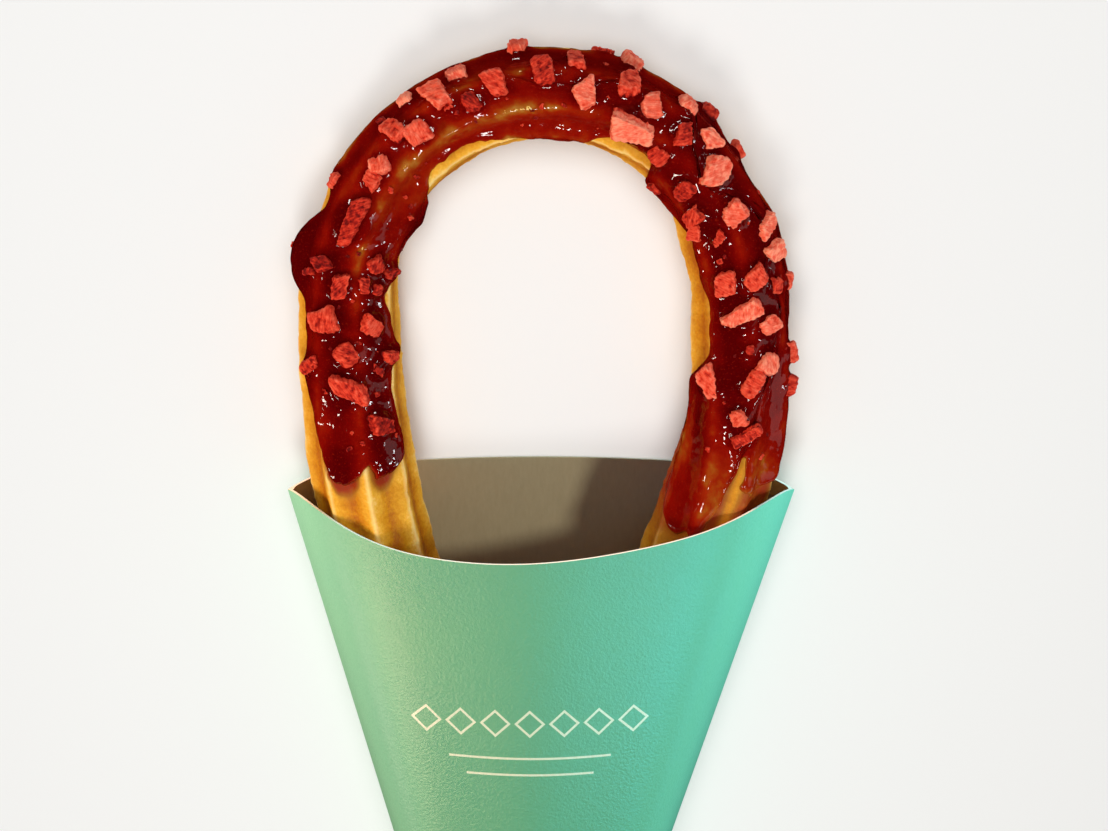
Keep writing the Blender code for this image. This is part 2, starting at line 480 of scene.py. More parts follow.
# Dried strawberry dice, as (station, angle, length, width, turn of the length from the strand's run, dryness).
FRUIT = (
    # over the crown
    (-4, -74, 3.6, 3.2, 10, 0.65), (-14, -57, 3.8, 3.4, 0, 0.8), (-8, -26, 5.2, 4.2, 75, 0.5),
    (-18, -36, 5.4, 4.0, 75, 0.7), (-23, -59, 3.5, 2.8, 0, 1.0), (-17, -19, 2.0, 1.5, 0, 0.4),
    (-13, -11, 3.8, 2.9, 80, 0.25), (0, -33, 5.2, 4.0, 80, 0.35), (5, -51, 4.2, 3.0, 75, 0.5),
    (7.5, -11, 5.0, 4.0, 60, 0.8), (14, -37, 4.8, 4.0, 75, 0.5), (13.5, -78, 4.2, 3.4, 0, 0.8),
    (19, -25, 4.6, 3.9, 50, 0.75), (17.5, 9, 8.2, 4.6, -8, 0.85), (24, -53, 4.2, 3.8, 0, 0.85),
    (9, -84, 4.4, 1.8, 0, 0.4),
    # right shoulder
    (27.5, -84, 4.6, 3.4, 80, 0.35), (26, -19, 4.4, 3.0, 60, 0.3), (30, -36, 4.2, 3.2, 15, 0.85),
    (35, -74, 3.0, 2.6, 70, 0.5), (25, 19, 3.8, 3.2, 0, 0.35), (34.5, -16, 6.0, 4.8, 60, 0.85),
    (30, 66, 2.6, 2.2, 0, 0.3), (34, 27, 4.6, 3.4, 80, 0.3), (40, 34, 5.0, 3.2, 70, 0.45),
    (43.5, 42, 3.2, 2.6, 30, 0.5), (42.5, -9, 4.6, 4.0, 70, 0.75), (46, 17, 3.2, 1.8, 50, 0.35),
    (47, -41, 4.6, 3.2, 60, 0.85), (51.5, -41, 4.2, 3.6, 80, 0.95),
    # right leg
    (55.5, 19, 4.6, 4.0, 0, 0.5), (55, -13, 4.4, 4.0, 60, 0.5), (57, -38, 3.2, 2.2, 0, 0.4),
    (57, -64, 3.6, 2.6, 0, 0.7), (61.5, 3, 8.4, 3.6, 60, 0.8), (64, -28, 4.3, 3.8, 60, 0.8),
    (71, -68, 4.2, 3.6, 0, 0.6), (68.5, -5, 2.2, 1.8, 0, 0.25), (71.5, -24, 4.6, 4.4, 30, 0.85),
    (75, -9, 5.6, 3.6, 30, 0.5), (76.5, -64, 3.6, 3.2, 0, 0.35), (75.5, 37, 6.8, 3.2, -20, 0.65),
    (81.5, 3, 3.6, 3.0, -30, 0.7), (85, -5, 7.0, 2.4, 48, 0.35),
    # left shoulder
    (-27, -30, 4.8, 3.2, 75, 0.55), (-24, -10, 4.6, 4.2, 10, 0.65), (-33, -14, 3.8, 3.2, 30, 0.75),
    (-36, -10, 3.6, 3.2, 0, 0.5), (-28, -55, 1.8, 1.5, 0, 0.15), (-40, -55, 3.4, 2.2, 0, 0.55),
    (-44.5, -7, 10.5, 3.4, 2, 0.3),
    # left leg
    (-53, -27, 3.6, 3.0, 60, 0.15), (-55, -44, 3.2, 1.4, 75, 0.2), (-51.5, 34, 3.6, 3.0, 60, 0.3),
    (-53, 55, 3.4, 1.8, 70, 0.25), (-56.5, -5, 4.8, 3.2, 5, 0.35), (-56, 21, 3.0, 2.0, 0, 0.3),
    (-57, 37, 1.9, 1.8, 0, 0.25), (-63, -22, 5.4, 4.6, 80, 0.45), (-64, 28, 4.6, 3.6, -50, 0.5),
    (-69.5, 2, 4.6, 4.2, -40, 0.4), (-70.5, 50, 3.6, 2.8, 80, 0.4), (-72, -42, 4.6, 2.8, 60, 0.35),
    (-73, 35, 2.8, 1.6, -45, 0.2), (-76, 3, 7.8, 3.8, -68, 0.42), (-84, 33, 5.2, 3.4, -70, 0.25),
)


def fruit_height(length, width):
    return 0.55 * width + 1.1


# ---- glaze ----

GLAZE_STEP = 0.55
GLAZE_ACROSS = 150

# The glaze's two long edges as (station, angle), with its drips
OUTER_EDGE = (
    (-100, -33), (-89, -38), (-82, -46), (-78, -55), (-74, -62), (-66, -59), (-60, -63), (-57.5, -74),
    (-55, -100), (-50, -98), (-47, -74), (-44, -63), (-40.5, -66), (-37.5, -96), (-30, -112), (-24, -100),
    (-14, -106), (-6, -96), (4, -112), (12, -98), (22, -108), (31, -94), (34, -76), (37, -76), (40, -94),
    (46, -108), (54, -96), (62, -116), (70, -100), (80, -104), (88, -92), (97, -84), (110, -80),
)
INNER_EDGE = (
    (-100, 42), (-95, 46), (-92, 58), (-88, 62), (-82, 57), (-76, 56), (-72.5, 61), (-70, 78), (-68, 66),
    (-64, 61), (-60, 53), (-57, 57), (-54.5, 72), (-51, 76), (-48, 92), (-42, 108), (-38, 112), (-34, 98),
    (-32, 72), (-30, 56), (-26, 47), (-18, 46), (-11, 50), (-6, 58), (-3, 72), (-1, 92), (6, 96), (9, 74),
    (11, 54), (14, 43), (18, 39), (23, 38), (25.5, 44), (27.5, 88), (32, 104), (37, 96), (41, 76), (45, 59),
    (52, 59), (57, 57), (60, 47), (66, 42), (70, 45), (73, 62), (76, 80), (80, 98), (90, 104), (110, 96),
)
# Where it starts on the left leg and stops on the right one, as (share of the way across, station)
LEFT_END = ((0, -90), (0.04, -92.5), (0.1, -94.6), (0.3, -95.2), (0.44, -93.6), (0.52, -92), (0.6, -93.4),
            (0.74, -95.2), (0.88, -94.8), (1, -92))
RIGHT_END = ((0, 94), (0.2, 95.5), (0.33, 97), (0.375, 96), (0.40, 90), (0.425, 89.5), (0.45, 99), (0.50, 106),
             (0.62, 108.5), (0.72, 109.5), (0.85, 105.5), (1, 104))

# Places where the film is thin enough for the crust to show: station, reach, angle, spread, share of it gone
THIN_PLACES = (
    (-22, 27, 14, 24, 0.82), (-10, 12, -40, 20, 0.74), (-49, 7, 12, 18, 0.66), (-37, 9, 42, 16, 0.60),
    (8, 10, 42, 20, 0.50), (84, 10, -38, 20, 0.60), (101, 10, 8, 20, 0.86), (95, 7, -40, 28, 0.70),
    (91, 9, 8, 16, 0.55), (92, 12, 62, 10, 0.50), (32, 8, 60, 16, 0.50), (-66, 12, -46, 10, 0.40),
    (-90, 6, 0, 18, 0.30),
)
# Thick runs: station, reach, angle, spread, millimetres added
THICK_RUNS = (
    (-53, 5.2, -84, 26, 2.1), (-40, 5.5, 88, 24, 2.3), (-90, 5, 40, 22, 0.55), (-92, 4, -12, 16, 0.4),
    (31, 5, 84, 22, 0.6), (-70, 2.5, 66, 14, 0.6), (-53, 2.5, 66, 12, 0.5), (62, 5, -108, 20, 0.8),
)


def through(points, value):
    """A smooth curve through given points."""
    x, y = np.array(points, dtype=float).T
    slope = np.gradient(y, x)
    at = np.clip(np.searchsorted(x, value) - 1, 0, len(x) - 2)
    span = x[at + 1] - x[at]
    f = np.clip((value - x[at]) / span, 0, 1)
    limit = 3 * np.abs(y[at + 1] - y[at]) / span
    start = np.clip(slope[at], -limit, limit)
    end = np.clip(slope[at + 1], -limit, limit)
    return (
        (2 * f**3 - 3 * f**2 + 1) * y[at] + (f**3 - 2 * f**2 + f) * span * start
        + (3 * f**2 - 2 * f**3) * y[at + 1] + (f**3 - f**2) * span * end
    )


def glaze_sides(station):
    """Angles of the glaze's two edges, (outer, towards the hole)."""
    ripple = layered(np.stack([station / 2.6, 0 * station, 0 * station], -1), 2, 51)
    other = layered(np.stack([station / 2.6, 0 * station + 40, 0 * station], -1), 2, 61)
    return through(OUTER_EDGE, station) + 3.0 * other, through(INNER_EDGE, station) + 2.2 * ripple


def glaze_ends(share):
    """Stations where the glaze starts and stops, for each share of the way round from outer to inner edge."""
    wave = np.stack([share * 16.0, 0 * share, 0 * share], -1)
    return (
        through(LEFT_END, share) + 0.35 * layered(wave, 2, 71),
        through(RIGHT_END, share) + 0.8 * layered(wave + 9, 2, 81),
    )


def thinness(station, angle):
    left = 1.0
    for centre, reach, middle, spread, gone in THIN_PLACES:
        left = left * (1 - gone * bump(station, centre, reach) * bump(angle, middle, spread))
    return 1 - left


def film(station, angle):
    """Thickness of the glaze over the crests."""
    patchy = layered(np.stack([station / 7, angle / 22, 0 * angle], -1), 2, 91)
    crown = smooth_share(station, -50, -36) * smooth_share(-station, -34, -20)
    thick = (0.62 - 0.2 * crown + 0.22 * patchy) * (1 - thinness(station, angle))
    thick = thick * (1 - 0.7 * smooth_share(np.abs(angle), 62, 84))
    return np.maximum(thick, 0.09)


def glaze_top(station, angle):
    """Radius of the glaze's free surface, before its edges and the fruit in it."""
    y = on_axis(station)[1]
    off = off_crest(station, angle)
    soft = 0.5 - 0.5 * np.cos(math.pi * off)
    crown = smooth_share(station, -50, -36) * smooth_share(-station, -34, -20)
    right_end = smooth_share(station, 82, 94)
    depth = 0.38 + 0.34 * crown + 0.8 * right_end + 0.6 * thinness(station, angle)
    depth = np.minimum(depth, 0.88 * GROOVE_DEPTH)
    level = crest_radius(y) + swelling(station) + fullness(station, angle) + film(station, angle) - depth * soft
    spot = np.stack([station, np.radians(angle) * 9.5, 0 * off], -1)
    level = level + 0.17 * layered(spot / 4.0, 2, 101) + 0.06 * layered(spot / 1.4, 2, 111)
    for centre, reach, middle, spread, more in THICK_RUNS:
        level = level + more * bump(station, centre, reach) * bump(angle, middle, spread)
    return level


def fruit_seats():
    """Centre and half size of each die, in millimetres, with the way it faces."""
    seats = []
    for number, (station, angle, length, width, turn, dry) in enumerate(FRUIT):
        s, a = np.array([float(station)]), np.array([float(angle)])
        out = outward(s, a)[0]
        _, _, hx, hy = [v[0] for v in on_axis(s)]
        run = np.array([hx, hy, 0.0])
        side = np.cross(out, run)
        height = fruit_height(length, width)
        level = glaze_top(s, a)[0]
        centre = placed(s, a, np.array([level + height * 0.5 - 0.38 * height]))[0]
        seats.append((centre, out, run, side, length, width, height, turn, dry, number))
    return seats


SEATS = fruit_seats()


def fruit_near(points):
    """For each point, the distance to the nearest die's foot less its half size, in millimetres."""
    nearest = np.full(points.shape[:-1], 99.0)
    for centre, out, run, side, length, width, height, *_ in SEATS:
        foot = centre - out * height * 0.2
        gap = np.linalg.norm(points - foot, axis=-1) - 0.25 * (length + width)
        nearest = np.minimum(nearest, gap)
    return nearest


def add_glaze():
    share = (1 - np.cos(np.linspace(0, math.pi, GLAZE_ACROSS))) / 2
    share = 0.5 * share + 0.5 * np.linspace(0, 1, GLAZE_ACROSS)
    start, stop = glaze_ends(share)
    rows = round(196 / GLAZE_STEP)
    run = np.linspace(0, 1, rows + 1)
    run = 0.93 * run + 0.07 * (1 - np.cos(run * math.pi)) / 2
    station = start[None, :] + run[:, None] * (stop - start)[None, :]
    outer, inner = glaze_sides(station)
    angle = outer + share[None, :] * (inner - outer)
    crust = dough_radius(station, angle)
    y = on_axis(station)[1]
    mean_radius = crest_radius(y)
    # Distance in from the nearest edge
    to_side = np.minimum(angle - outer, inner - angle) * math.pi / 180 * mean_radius
    to_end = np.minimum(station - start[None, :], stop[None, :] - station)
    inside = np.minimum(to_side, to_end)
    inside = np.minimum(inside, np.hypot(*(np.maximum(2.2 - d, 0) for d in (to_side, to_end))) * -1 + 2.2)
    inside = np.maximum(inside, 0)
    lip = np.sqrt(1 - (1 - np.clip(inside / 1.5, 0, 1)) ** 2)
    top = glaze_top(station, angle)
    # It climbs the fruit, and stands up in a soft bead along its edge
    gap = fruit_near(placed(station, angle, top))
    top = top + 0.75 * np.exp(-np.maximum(gap, 0) / 0.7) * lip
    bead = 0.16 * bump(inside, 1.5, 0.8) * (1 - thinness(station, angle))
    free = crust - 0.06 + (np.maximum(top + bead - crust, 0.05) + 0.06) * lip
    edge = np.zeros_like(free, dtype=bool)
    edge[0], edge[-1], edge[:, 0], edge[:, -1] = True, True, True, True
    free = np.where(edge, crust - 0.06, free)
    under = crust - 0.35
    top_points = placed(station, angle, free)
    under_points = placed(station, angle, under)[1:-1, 1:-1]
    r, c = rows + 1, GLAZE_ACROSS
    top_quads = grid_quads(r, c)
    start_under = r * c
    number = np.full((r, c), -1)
    number[1:-1, 1:-1] = np.arange((r - 2) * (c - 2)).reshape(r - 2, c - 2) + start_under
    number = np.where(number < 0, np.arange(r * c).reshape(r, c), number)
    under_quads = np.stack([number[:-1, :-1], number[1:, :-1], number[1:, 1:], number[:-1, 1:]], -1).reshape(-1, 4)
    points = np.concatenate([top_points.reshape(-1, 3), under_points.reshape(-1, 3)])
    quads = np.concatenate([top_quads, under_quads])
    depth = np.maximum(free - crust, 0)
    smooth_depth = depth
    for _ in range(3):
        padded = np.pad(smooth_depth, 1, mode="edge")
        smooth_depth = (padded[:-2, 1:-1] + padded[2:, 1:-1] + padded[1:-1, :-2] + padded[1:-1, 2:] + 2 * smooth_depth) / 6
    attributes = {
        "depth": np.concatenate([smooth_depth.ravel(), smooth_depth[1:-1, 1:-1].ravel()]),
    }
    made = add_mesh("strawberry_glaze", points, quads, attributes=attributes)
    finish(made, glaze_material())
    return made


def glaze_material():
    m = Nodes("strawberry_glaze")
    depth = m.attribute("depth")
    pulp = m.noise(0.55, 4)
    specks = m.noise(2.6, 3)
    body = m.math("ADD", depth, m.math("MULTIPLY", m.math("SUBTRACT", pulp, 0.5), 0.65))
    colour = m.ramp(m.math("MULTIPLY", body, 0.5, clamp=True), [
        (0.02, rgb(170, 108, 44)), (0.07, rgb(160, 90, 28)), (0.14, rgb(154, 62, 14)), (0.22, rgb(148, 34, 7)),
        (0.36, rgb(134, 14, 4)), (0.60, rgb(110, 4, 3)), (0.95, rgb(82, 1, 3)),
    ])
    colour = m.mix(m.ramp(specks, [(0.60, (0, 0, 0)), (0.72, (0.5, 0.5, 0.5))]), colour, rgb(166, 40, 18))
    ripples = m.noise(0.55, 1, 0.4)
    fine = m.noise(1.5, 1, 0.4)
    normal = m.bump(ripples, 0.22, 0.7)
    normal = m.bump(fine, 0.05, 0.6, normal)
    m.set(Base_Color=colour, Roughness=0.06, Normal=normal, IOR=1.47, Subsurface_Weight=0.2,
          Subsurface_Radius=(1.0, 0.16, 0.05), Subsurface_Scale=0.0011)
    return m


# ---- fruit meshes ----


def cube_shell(n):
    """Points of a unit cube's surface, n gaps a side, and its quads."""
    index, points, quads = {}, [], []

    def number(key):
        if key not in index:
            index[key] = len(points)
            points.append([2 * k / n - 1 for k in key])
        return index[key]

    for axis in range(3):
        u, v = (axis + 1) % 3, (axis + 2) % 3
        for end in (0, n):
            for i in range(n):
                for j in range(n):
                    corners = []
                    for di, dj in ((0, 0), (1, 0), (1, 1), (0, 1)):
                        key = [0, 0, 0]
                        key[axis], key[u], key[v] = end, i + di, j + dj
                        corners.append(number(tuple(key)))
                    quads.append(corners if end else corners[::-1])
    return np.array(points), np.array(quads)


SHELLS = {}


def spread(number, seed, low=-1.0, high=1.0, count=1):
    """Repeatable numbers between low and high."""
    raw = hashed(np.array([[number, k, seed] for k in range(count)]), seed)
    return low + (raw + 1) / 2 * (high - low)


def die_form(size, seed, grain=0.34, cuts=7):
    """A ragged die of dried fruit about its own middle, in millimetres, with its attributes."""
    n = int(np.clip(round(max(size) / grain), 4, 20))
    if n not in SHELLS:
        SHELLS[n] = cube_shell(n)
    unit, quads = SHELLS[n]
    boxy, wedge, skew, bow, grain_turn = spread(seed, 45, count=5)
    power = 6 + 2.5 * boxy
    ball = unit / (np.abs(unit) ** power).sum(1, keepdims=True) ** (1 / power)
    edge = smooth_share(np.sort(np.abs(ball), axis=1)[:, 1], 0.62, 0.95)
    # The knife's cuts, which take off corners and leave the sides out of square
    turn, rise, deep = (spread(seed, k, count=cuts) for k in (31, 33, 35))
    for cut in range(cuts):
        a = math.pi * turn[cut]
        facing = np.array([math.cos(a), math.sin(a), 0.45 * rise[cut]])
        facing /= np.linalg.norm(facing)
        reach = np.abs(facing).sum() * (0.80 + 0.12 * deep[cut])
        past = np.maximum(ball @ facing - reach, 0)
        ball = ball - past[:, None] * facing
    ball[:, 1] *= 1 + 0.26 * wedge * ball[:, 0]
    ball[:, 0] += 0.24 * skew * ball[:, 1]
    ball[:, 1] += 0.16 * bow * (ball[:, 0] ** 2 - 0.4)
    half = np.array(size) / 2
    points = ball * half
    normal = np.sign(ball) * np.abs(ball) ** 4 / half
    normal /= np.linalg.norm(normal, axis=1, keepdims=True)
    at = points + seed * 13.7
    a = 1.2 * grain_turn
    across = points[:, 0] * math.cos(a) + points[:, 1] * math.sin(a)
    along = points[:, 1] * math.cos(a) - points[:, 0] * math.sin(a)
    lump = 0.22 * layered(at / 2.2, 2, seed)
    ragged = 0.13 * layered(at / 0.62, 3, seed + 3)
    ridged = 0.09 * np.sin(across * 7.0 + 2.2 * noise(at / 0.9, seed + 5))
    hole = smooth_share(-layered(at / 0.7, 2, seed + 9), 0.2, 0.8)
    push = lump + ragged + ridged - 0.20 * hole
    attributes = {
        "hole": hole, "edge": edge,
        "fibre": np.stack([across + seed * 7.3, along * 0.22, points[:, 2] * 0.30], -1),
    }
    return points + normal * push[:, None], quads, attributes


def gather(name, forms, material):
    """One object from many (points, quads, {attribute: values})."""
    points, quads, start = [], [], 0
    keys = forms[0][2].keys()
    values = {key: [] for key in keys}
    for form_points, form_quads, form_values in forms:
        points.append(form_points)
        quads.append(form_quads + start)
        start += len(form_points)
        for key in keys:
            values[key].append(form_values[key])
    made = add_mesh(
        name, np.concatenate(points), np.concatenate(quads),
        attributes={key: np.concatenate(v) for key, v in values.items()},
    )
    finish(made, material)
    return made


def add_fruit(material):
    forms = []
    for centre, out, run, side, length, width, height, turn, dry, number in SEATS:
        local, quads, attributes = die_form((length, width, height), number + 1)
        tilt = 0.30 * hashed(np.array([[number, k, 3] for k in range(2)]), 5)
        a = math.radians(turn)
        ahead = math.cos(a) * run - math.sin(a) * side
        across = np.cross(out, ahead)
        ahead = ahead + out * tilt[0]
        ahead /= np.linalg.norm(ahead)
        across = across + out * tilt[1]
        across -= ahead * across.dot(ahead)
        across /= np.linalg.norm(across)
        up = np.cross(ahead, across)
        world = centre + local @ np.array([ahead, across, up])
        above = local[:, 2] / height + 0.5
        wet = smooth_share(0.50 - above, 0.0, 0.40)
        attributes["dry"] = dry - 0.75 * wet
        forms.append((world, quads, attributes))
    return gather("strawberry_dice", forms, material)


CRUMBS = 70


def add_crumbs(material):
    rng = np.random.default_rng(12)
    forms = []
    while len(forms) < CRUMBS:
        station = rng.uniform(-88, 90)
        angle = rng.normal(0, 38)
        size = rng.uniform(0.45, 1.25)
        s, a = np.array([station]), np.array([angle])
        outer, inner = glaze_sides(s)
        if not outer[0] + 12 < angle < inner[0] - 12 or size > 1.1 and rng.random() < 0.6:
            continue
        level = glaze_top(s, a)
        centre = placed(s, a, level + 0.05)[0]
        if fruit_near(centre) < 0.3 and rng.random() < 0.7:
            continue
        dims = (size * rng.uniform(0.9, 1.6), size, size * 0.8)
        local, quads, attributes = die_form(dims, 300 + len(forms))
        out = outward(s, a)[0]
        ahead = rng.normal(size=3)
        ahead -= out * ahead.dot(out)
        ahead /= np.linalg.norm(ahead)
        world = centre + (local * 0.8) @ np.array([ahead, np.cross(out, ahead), out])
        attributes["dry"] = np.full(len(local), rng.uniform(0.0, 0.45))
        forms.append((world, quads, attributes))
    return gather("strawberry_crumbs", forms, material)


def fruit_material():
    m = Nodes("dried_strawberry")
    cells = m.noise(0.9, 4, 0.6)
    fibres = m.noise(3.4, 3, 0.6, m.attribute("fibre", "Vector"))
    dry = m.math("ADD", m.attribute("dry"), m.math("MULTIPLY", m.math("SUBTRACT", cells, 0.5), 0.75))
    dry = m.math("ADD", dry, m.math("MULTIPLY", m.math("SUBTRACT", fibres, 0.5), 0.9))
    dry = m.math("ADD", dry, m.math("MULTIPLY", m.attribute("edge"), 0.14))
    dry = m.math("SUBTRACT", dry, m.math("MULTIPLY", m.attribute("hole"), 0.26))
    colour = m.ramp(dry, [
        (0.0, rgb(100, 6, 6)), (0.19, rgb(152, 21, 13)), (0.37, rgb(203, 48, 28)), (0.57, rgb(230, 78, 53)),
        (0.81, rgb(244, 109, 83)), (1.0, rgb(255, 148, 118)),
    ])
    normal = m.bump(fibres, 0.20, 0.9)
    normal = m.bump(m.noise(2.6, 4, 0.6), 0.16, 0.6, normal)
    m.set(Base_Color=colour, Roughness=0.70, Normal=normal, Subsurface_Weight=0.12,
          Subsurface_Radius=(1.0, 0.25, 0.15), Subsurface_Scale=0.0008, Specular_IOR_Level=0.25)
    return m


# ---- sleeve ----

PANEL_ACROSS, PANEL_ROWS = 110, 96
# The printed band: its middle, its lozenges, and the rules under it as (how far down, half length)
BAND_X, BAND_Y = -2.3, -45.5
LOZENGE_PITCH, LOZENGE_REACH, INK_WIDTH = 7.0, 2.8, 0.5
RULES = ((8.0, 16.5), (11.8, 13.0))


def rim_rise(across, front):
    if front:
        return (1 - across**2) * (RIM_SKEW * across - FRONT_DIP * (1 - 2.8 * across**8))
    return BACK_RISE * (1 - across * across)


def crown(across):
    """The front panel's bow, two nearly flat halves that meet in a soft bend: its height and slope."""
    reach = np.hypot(across, CROWN_BEND)
    whole = math.hypot(1.0, CROWN_BEND) - CROWN_BEND
    return FRONT_CROWN * (CROWN_SPREAD - (reach - CROWN_BEND) / whole), -FRONT_CROWN * across / reach / whole


def panel(across, up, front, inset=0.0):
    """Points of one panel. inset moves them inwards by the card's thickness."""
    y = -SLEEVE_LENGTH + (SLEEVE_LENGTH + rim_rise(across, front)) * up
    share = 1 + y / SLEEVE_LENGTH
    half = MOUTH_HALF_WIDTH + SIDE_TAPER * y
    middle = SLEEVE_LEAN * y
    fold = FOLD_HEIGHT[0] + (FOLD_HEIGHT[1] - FOLD_HEIGHT[0]) * share
    rise = FRONT_BULGE[0] + (FRONT_BULGE[1] - FRONT_BULGE[0]) * share
    size = np.abs(across)
    if front:
        bow, bow_slope = crown(across)
        rise = rise + bow
        z = fold + rise * (1 - size**FRONT_FLATNESS)
        slope = -rise * FRONT_FLATNESS * size ** (FRONT_FLATNESS - 1) * np.sign(across) / half
        slope = slope + bow_slope * (1 - size**FRONT_FLATNESS) / half
        facing = 1.0
    else:
        z = fold * size**BACK_FLATNESS
        slope = fold * BACK_FLATNESS * size ** (BACK_FLATNESS - 1) * np.sign(across) / half
        facing = -1.0
    points = np.stack([across * half, y, z], -1)
    if inset:
        normal = np.stack([-slope, 0 * slope, np.ones_like(slope)], -1)
        normal /= np.linalg.norm(normal, axis=-1, keepdims=True)
        step = np.minimum(inset, 1e9) * normal * -facing
        points = points + step
        # Both panels' inner faces meet inside the fold.
        limit = half - inset * 2.4
        points[..., 0] = np.clip(points[..., 0], -limit, limit)
    points[..., 0] += middle
    return points


def add_sleeve():
    fine = np.linspace(-1, 1, PANEL_ACROSS + 1)
    across = 0.55 * fine + 0.45 * np.sin(fine * math.pi / 2)
    up = np.linspace(0, 1, PANEL_ROWS + 1)[:, None] * np.ones((1, PANEL_ACROSS + 1))
    a = np.ones((PANEL_ROWS + 1, 1)) * across[None, :]
    loops = {}
    for inset in (0.0, CARD):
        back = panel(a, up, False, inset)
        front = panel(a, up, True, inset)
        if inset:
            # The fold's inner line is shared: the mean of where the two panels end.
            for column in (0, -1):
                mean = (back[:, column] + front[:, column]) / 2
                back[:, column], front[:, column] = mean, mean
        loops[inset] = np.concatenate([back[:, :-1], front[:, :0:-1]], axis=1)
    outer, inner = loops[0.0], loops[CARD]
    count = outer.shape[1]
    lift_foot = np.zeros_like(inner)
    lift_foot[0, :, 1] = CARD
    inner = inner + lift_foot
    rows = PANEL_ROWS + 1
    points = [outer.reshape(-1, 3), inner.reshape(-1, 3)]
    start_inner = rows * count
    outer_quads = grid_quads(rows, count, 0, wrap=True)
    inner_quads = grid_quads(rows, count, start_inner, wrap=True)[:, ::-1]
    c = np.arange(count)
    top = PANEL_ROWS * count
    rim = np.stack([top + c, top + (c + 1) % count, start_inner + top + (c + 1) % count, start_inner + top + c], -1)
    foot = []
    for base, flip in ((0, False), (start_inner, True)):
        for i in range(1, PANEL_ACROSS):
            low = [base + i, base + i + 1, base + (count - i - 1) % count, base + (count - i) % count]
            if i == PANEL_ACROSS - 1:
                low = [base + i, base + i + 1, base + (count - i) % count, base + (count - i) % count]
            foot.append(low[::-1] if flip else low)
        foot.append([base, base + 1, base + count - 1, base + count - 1])
    quads = np.concatenate([outer_quads, inner_quads, rim])
    made = sleeve_object(np.concatenate(points), quads, outer_quads, inner_quads, rim, foot, count, start_inner)
    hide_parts("sleeve")
    return made


def sleeve_object(points, quads, outer_quads, inner_quads, rim, foot, count, start_inner):
    import bmesh

    made = add_mesh("card_sleeve", points, quads)
    form = bmesh.new()
    form.from_mesh(made.data)
    form.verts.ensure_lookup_table()
    form.faces.ensure_lookup_table()
    kinds = [0] * len(outer_quads) + [1] * len(inner_quads) + [2] * len(rim)
    for face, kind in zip(form.faces, kinds):
        face.material_index = kind
    for corners in foot:
        ring = list(dict.fromkeys(corners))
        face = form.faces.new([form.verts[k] for k in ring])
        face.material_index = 1 if min(ring) >= start_inner else 0
        face.smooth = True
    bmesh.ops.recalc_face_normals(form, faces=form.faces)
    form.to_mesh(made.data)
    form.free()
    made.data.set_sharp_from_angle(angle=math.radians(40))
    for nodes in (card_material(), card_inside_material(), card_edge_material()):
        made.data.materials.append(nodes.material)
    return made


def ornament(m):
    """Where cream ink lies on the front panel: a band of lozenges over two plain rules."""
    place = m.add("ShaderNodeSeparateXYZ", {"Vector": m.place()}).outputs
    aside = m.math("ABSOLUTE", m.math("SUBTRACT", place["X"], BAND_X))
    # The band sags a little towards its middle.
    sag = m.math("MULTIPLY", m.math("MULTIPLY", aside, aside), 0.002)
    below = m.math("SUBTRACT", m.math("ADD", sag, MOUTH_Y + BAND_Y), place["Y"])
    along = m.math("PINGPONG", aside, LOZENGE_PITCH / 2)
    outline = m.math("SUBTRACT", m.math("ADD", along, m.math("ABSOLUTE", below)), LOZENGE_REACH)
    ink = m.math("LESS_THAN", m.math("ABSOLUTE", outline), INK_WIDTH * 0.7)
    ink = m.math("MULTIPLY", ink, m.math("LESS_THAN", aside, 3.5 * LOZENGE_PITCH))
    for down, half in RULES:
        rule = m.math("LESS_THAN", m.math("ABSOLUTE", m.math("SUBTRACT", below, down)), INK_WIDTH / 2)
        ink = m.math("MAXIMUM", ink, m.math("MULTIPLY", rule, m.math("LESS_THAN", aside, half)))
    return m.math("MULTIPLY", ink, m.math("GREATER_THAN", place["Z"], FOLD_HEIGHT[1] + 1))


def card_material():
    m = Nodes("mint_card")
    place = m.place()
    stucco = m.noise(1.7, 5, 0.6, place)
    soft = m.noise(0.05, 2, 0.5, place)
    colour = m.mix(soft, (0.124, 0.400, 0.212), (0.116, 0.385, 0.226))
    colour = m.mix(m.ramp(stucco, [(0.30, (0.0,) * 3), (0.75, (0.32,) * 3)]), colour, (0.19, 0.48, 0.30))
    colour = m.mix(m.math("MULTIPLY", ornament(m), 0.85), colour, rgb(244, 240, 214))
    normal = m.bump(stucco, 0.12, 0.7)
    m.set(Base_Color=colour, Roughness=0.28, Normal=normal, Specular_IOR_Level=1.0)
    return m


def card_inside_material():
    m = Nodes("card_inside")
    fibre = m.noise(1.2, 5, 0.6, m.place((1.0, 0.35, 1.0)))
    colour = m.mix(fibre, rgb(176, 160, 134), rgb(192, 178, 152))
    m.set(Base_Color=colour, Roughness=0.85, Normal=m.bump(fibre, 0.05, 0.5))
    return m


def card_edge_material():
    m = Nodes("card_cut_edge")
    colour = m.mix(m.noise(3.0, 3), rgb(196, 204, 168), rgb(214, 220, 188))
    m.set(Base_Color=colour, Roughness=0.8)
    return m


# ---- stage, light and camera ----

TILT = 18.0
DISTANCE = 320.0
AIM = (2.6, 15.0 + MOUTH_Y, 10.0)
LENS, SENSOR = 52.0, 36.0


